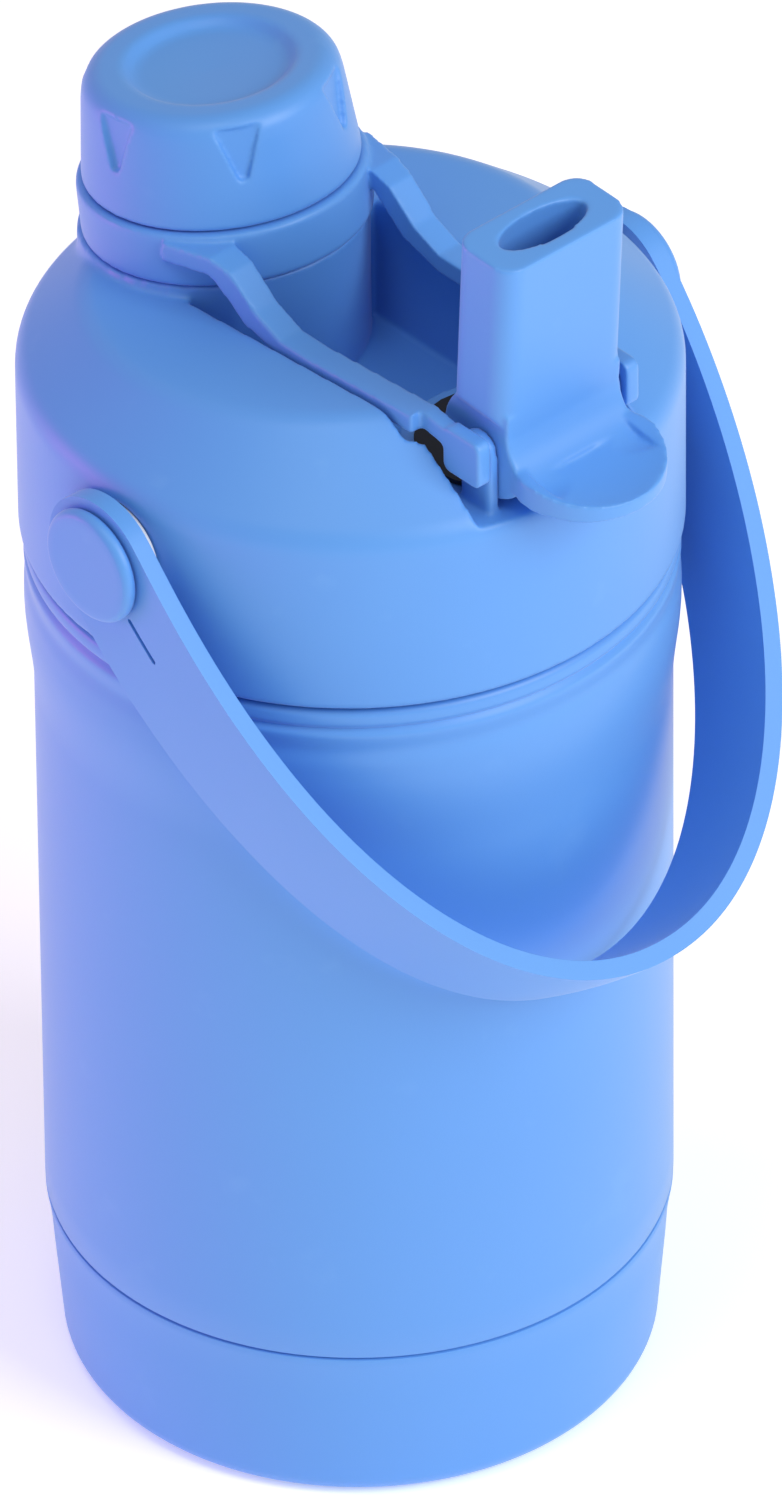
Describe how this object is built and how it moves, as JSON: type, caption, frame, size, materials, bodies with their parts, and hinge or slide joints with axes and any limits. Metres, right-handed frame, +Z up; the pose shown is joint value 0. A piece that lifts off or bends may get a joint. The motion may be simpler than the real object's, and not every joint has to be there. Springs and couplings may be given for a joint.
{
  "type": "large water jug",
  "caption": "Large insulated steel water jug with a two-way lid: screw-capped chug spout on a swinging carrier, flip-up straw spout and a side-pivoted carry loop.",
  "frame": {"origin": "centre of the flat underside of the base boot", "axes": "+Z up along the bottle's axis, -Y towards the straw spout and its thumb tab, +Y towards the chug cap, X through the carry loop's pivots"},
  "size_m": [0.1452, 0.1543, 0.2954],
  "materials": {
    "body_blue": "matte powder coat, cornflower blue",
    "boot_blue": "soft matte, cornflower blue",
    "lid_blue": "fine satin moulded plastic, cornflower blue",
    "steel": "brushed stainless steel",
    "liner_white": "natural white moulded plastic",
    "silicone_clear": "translucent silicone",
    "silicone_black": "black silicone",
    "straw_clear": "clear soft plastic"
  },
  "bodies": {
    "bottle": {"outer_shell": "body_blue", "inner_vessel": "steel", "base_boot": "boot_blue", "vacuum_plug": "steel"},
    "lid_seal": {"lid_gasket": "silicone_clear"},
    "lid": {"lid_shell": "lid_blue", "lid_liner": "liner_white", "vent_valve": "silicone_clear", "chug_spout": "lid_blue", "spout_seal": "silicone_black", "straw_nipple": "silicone_clear", "straw_tube": "straw_clear", "spout_pin_left": "steel", "spout_pin_right": "steel", "handle_pivot_left": "lid_blue", "handle_pivot_right": "lid_blue", "handle_washer_left": "liner_white", "handle_washer_right": "liner_white", "handle_button_left": "lid_blue", "handle_button_right": "lid_blue"},
    "cap_carrier": {"cap_carrier": "lid_blue"},
    "chug_cap": {"chug_cap": "lid_blue", "cap_insert": "liner_white", "cap_gasket": "silicone_clear"},
    "straw_spout": {"straw_spout": "lid_blue"},
    "handle": {"handle": "lid_blue"}
  },
  "joints": [
    {"name": "lid_lift", "type": "slide", "parent": "bottle", "child": "lid_seal", "axis": [0, 0, 1], "range_m": [0, 0.2]},
    {"name": "lid_turn", "type": "hinge", "parent": "lid_seal", "child": "lid", "pos_m": [0, 0, 0.198], "axis": [0, 0, 1], "continuous": true},
    {"name": "carrier_swing", "type": "hinge", "parent": "lid", "child": "cap_carrier", "pos_m": [0, -0.054, 0.25], "axis": [1, 0, 0], "range_deg": [0, 172]},
    {"name": "cap_turn", "type": "hinge", "parent": "cap_carrier", "child": "chug_cap", "pos_m": [0, 0.0347, 0.2503], "axis": [0, 0.1374, 0.9905], "continuous": true},
    {"name": "straw_flip", "type": "hinge", "parent": "lid", "child": "straw_spout", "pos_m": [0, -0.054, 0.25], "axis": [-1, 0, 0], "range_deg": [0, 93]},
    {"name": "handle_swing", "type": "hinge", "parent": "lid", "child": "handle", "pos_m": [0, -0.0045, 0.2233], "axis": [-1, 0, 0], "range_deg": [-1, 270]}
  ]
}
